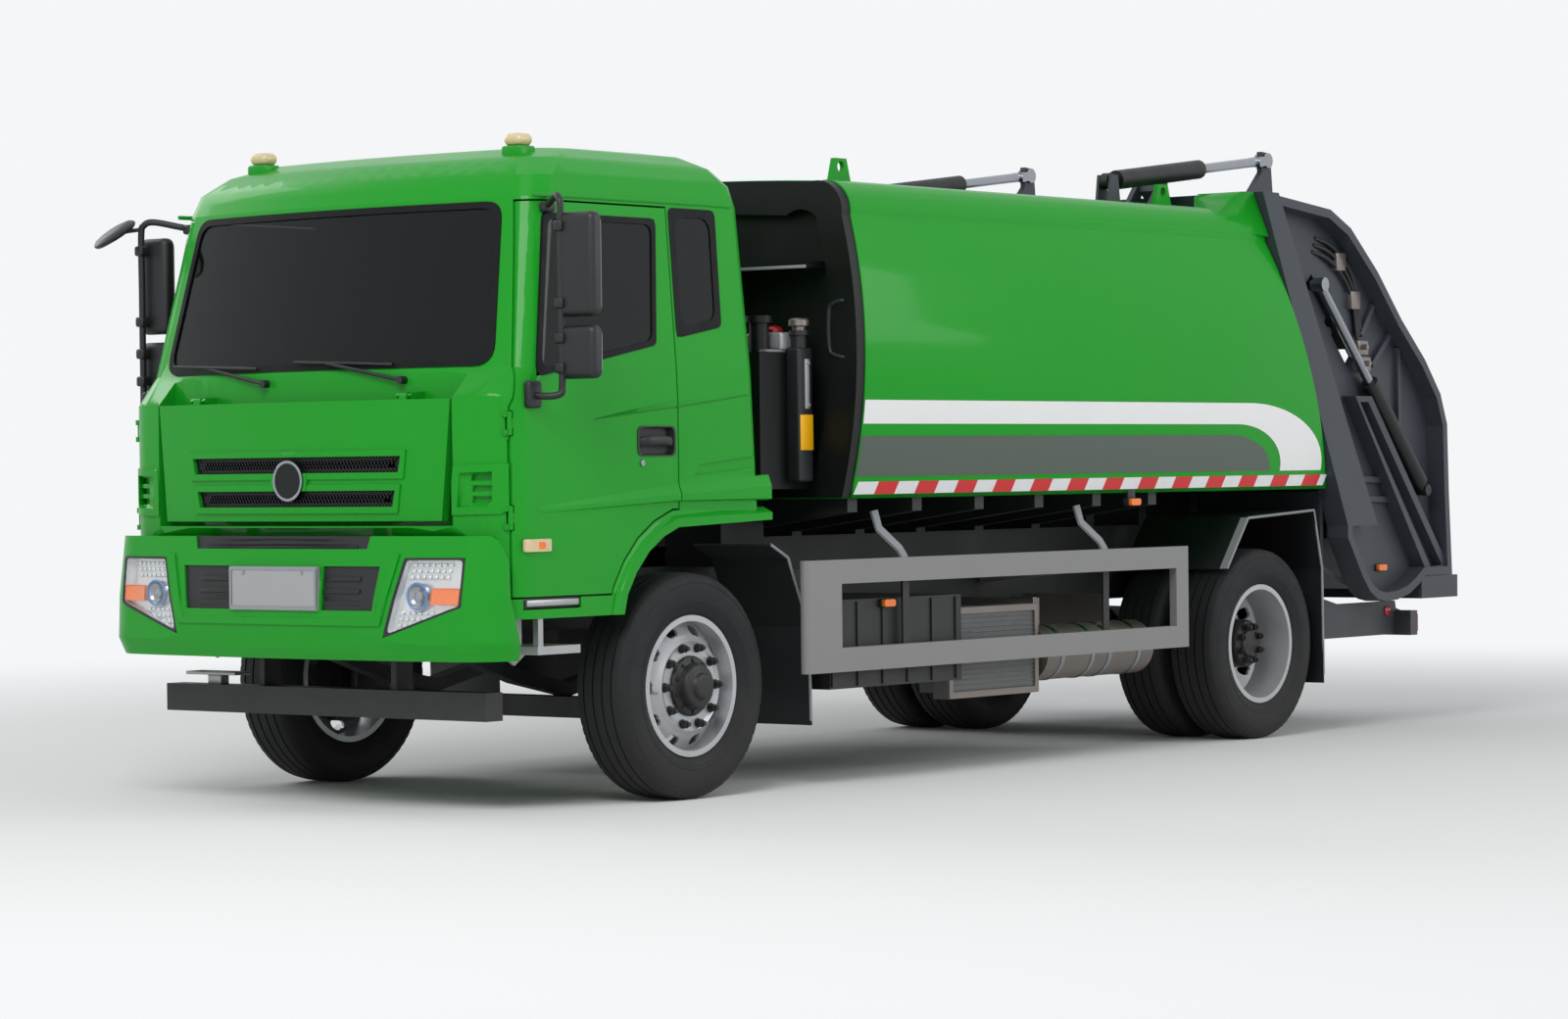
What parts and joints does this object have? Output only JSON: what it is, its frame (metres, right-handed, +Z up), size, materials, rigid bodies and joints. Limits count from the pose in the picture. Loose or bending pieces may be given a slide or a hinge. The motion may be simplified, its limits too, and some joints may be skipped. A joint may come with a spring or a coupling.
{
  "type": "garbage truck",
  "caption": "Rear loading refuse truck with a tilting cab, barrel sided body, liftable tailgate with packer blade, and an ejector plate inside",
  "frame": {"origin": "on the floor under the middle of the truck's bounding box", "axes": "+X forward, +Y to the truck's left, +Z up"},
  "size_m": [7.6748, 2.8, 3.0059],
  "materials": {
    "chassis_black": "satin",
    "motor_grey": "matte",
    "body_green": "gloss",
    "cab_green": "gloss",
    "gate_grey": "satin",
    "guard_grey": "satin",
    "black_plastic": "matte",
    "radiator_grey": "matte",
    "tank_grey": "satin",
    "step_aluminium": "brushed",
    "red_lens": "gloss",
    "clear_glass": "gloss",
    "seat_fabric": "matte",
    "cream_lens": "gloss",
    "lamp_lens": "gloss",
    "plate_white": "satin",
    "cylinder_grey": "satin",
    "bare_steel": "polished",
    "tyre_rubber": "matte",
    "wheel_silver": "satin"
  },
  "bodies": {
    "chassis": {"frame_rails": "chassis_black", "drive_motor": "motor_grey", "underrun_beam": "chassis_black", "front_axle": "chassis_black", "rear_axle": "chassis_black", "refuse_body": "body_green", "body_front_frame": "chassis_black", "body_subframe": "chassis_black", "lifting_lugs": "body_green", "roof_brackets": "gate_grey", "side_guards": "guard_grey", "front_mudguards": "black_plastic", "rear_mudguards": "black_plastic", "battery_cases": "chassis_black", "radiator": "radiator_grey", "air_tanks": "tank_grey", "oil_tank": "gate_grey", "cab_steps": "step_aluminium", "rear_underrun": "chassis_black", "tail_lamps": "red_lens"},
    "knuckle_left": {"knuckle_left": "chassis_black"},
    "knuckle_right": {"knuckle_right": "chassis_black"},
    "wheel_front_left": {"tyre_front_left": "tyre_rubber", "rim_front_left": "wheel_silver"},
    "wheel_front_right": {"tyre_front_right": "tyre_rubber", "rim_front_right": "wheel_silver"},
    "wheel_rear_left": {"tyres_rear_left": "tyre_rubber", "rims_rear_left": "wheel_silver"},
    "wheel_rear_right": {"tyres_rear_right": "tyre_rubber", "rims_rear_right": "wheel_silver"},
    "cab": {"cab_shell": "cab_green", "windscreen": "clear_glass", "quarter_windows": "clear_glass", "dashboard": "black_plastic", "seats": "seat_fabric", "wipers": "black_plastic", "roof_lamps": "cream_lens", "front_bumper": "cab_green", "headlamps": "lamp_lens", "bumper_grilles": "black_plastic", "number_plate": "plate_white"},
    "door_left": {"door_left": "cab_green", "door_glass_left": "clear_glass", "mirrors_left": "black_plastic"},
    "door_right": {"door_right": "cab_green", "door_glass_right": "clear_glass", "mirrors_right": "black_plastic"},
    "front_flap": {"front_flap": "cab_green", "flap_grilles": "black_plastic"},
    "tailgate": {"tailgate_shell": "gate_grey", "hopper_trough": "gate_grey", "packer_barrels": "cylinder_grey"},
    "packer_carriage": {"packer_carriage": "gate_grey", "packer_rods": "bare_steel"},
    "packer_blade": {"packer_blade": "gate_grey"},
    "lift_barrels": {"lift_barrels": "cylinder_grey"},
    "lift_rods": {"lift_rods": "bare_steel"},
    "ejector": {"ejector_plate": "gate_grey"}
  },
  "joints": [
    {"name": "cab_tilt", "type": "hinge", "parent": "chassis", "child": "cab", "pos_m": [3.62, 0, 0.76], "axis": [0, 1, 0], "range_deg": [0, 50]},
    {"name": "flap_hinge", "type": "hinge", "parent": "cab", "child": "front_flap", "pos_m": [3.665, 0, 1.705], "axis": [0, -1, 0], "range_deg": [0, 65]},
    {"name": "door_left_hinge", "type": "hinge", "parent": "cab", "child": "door_left", "pos_m": [3.559, 1.0761, 1.35], "axis": [0, 0, -1], "range_deg": [0, 70]},
    {"name": "door_right_hinge", "type": "hinge", "parent": "cab", "child": "door_right", "pos_m": [3.559, -1.0761, 1.35], "axis": [0, 0, 1], "range_deg": [0, 70]},
    {"name": "steer_left", "type": "hinge", "parent": "chassis", "child": "knuckle_left", "pos_m": [2.475, 0.83, 0.479], "axis": [0, 0, 1], "range_deg": [-35, 35]},
    {"name": "steer_right", "type": "hinge", "parent": "chassis", "child": "knuckle_right", "pos_m": [2.475, -0.83, 0.479], "axis": [0, 0, 1], "range_deg": [-35, 35]},
    {"name": "spin_front_left", "type": "hinge", "parent": "knuckle_left", "child": "wheel_front_left", "pos_m": [2.475, 0.998, 0.479], "axis": [0, 1, 0], "continuous": true},
    {"name": "spin_front_right", "type": "hinge", "parent": "knuckle_right", "child": "wheel_front_right", "pos_m": [2.475, -0.998, 0.479], "axis": [0, 1, 0], "continuous": true},
    {"name": "spin_rear_left", "type": "hinge", "parent": "chassis", "child": "wheel_rear_left", "pos_m": [-2.025, 0.833, 0.479], "axis": [0, 1, 0], "continuous": true},
    {"name": "spin_rear_right", "type": "hinge", "parent": "chassis", "child": "wheel_rear_right", "pos_m": [-2.025, -0.833, 0.479], "axis": [0, 1, 0], "continuous": true},
    {"name": "tailgate_hinge", "type": "hinge", "parent": "chassis", "child": "tailgate", "pos_m": [-1.895, 0, 2.79], "axis": [0, 1, 0], "range_deg": [0, 85]},
    {"name": "lift_barrel_swing", "type": "hinge", "parent": "chassis", "child": "lift_barrels", "pos_m": [-1.225, 0, 2.79], "axis": [0, 1, 0], "range_deg": [0, 48.5]},
    {"name": "lift_rod_slide", "type": "slide", "parent": "lift_barrels", "child": "lift_rods", "axis": [-0.9932, 0, 0.1168], "range_m": [-0.49, 0]},
    {"name": "packer_slide", "type": "slide", "parent": "tailgate", "child": "packer_carriage", "axis": [0.6972, 0, 0.7169], "range_m": [-0.5, 0]},
    {"name": "packer_blade_hinge", "type": "hinge", "parent": "packer_carriage", "child": "packer_blade", "pos_m": [-2.75706, 0, 2.06242], "axis": [0, 1, 0], "range_deg": [0, 60]},
    {"name": "ejector_slide", "type": "slide", "parent": "chassis", "child": "ejector", "axis": [-1, 0, 0], "range_m": [0, 2.6]}
  ],
  "couplings": [
    {"joint": "steer_right", "follows": "steer_left", "ratio": 1},
    {"joint": "lift_barrel_swing", "follows": "tailgate_hinge", "ratio": 0.559},
    {"joint": "lift_rod_slide", "follows": "tailgate_hinge", "m_per_rad": -0.3266}
  ]
}
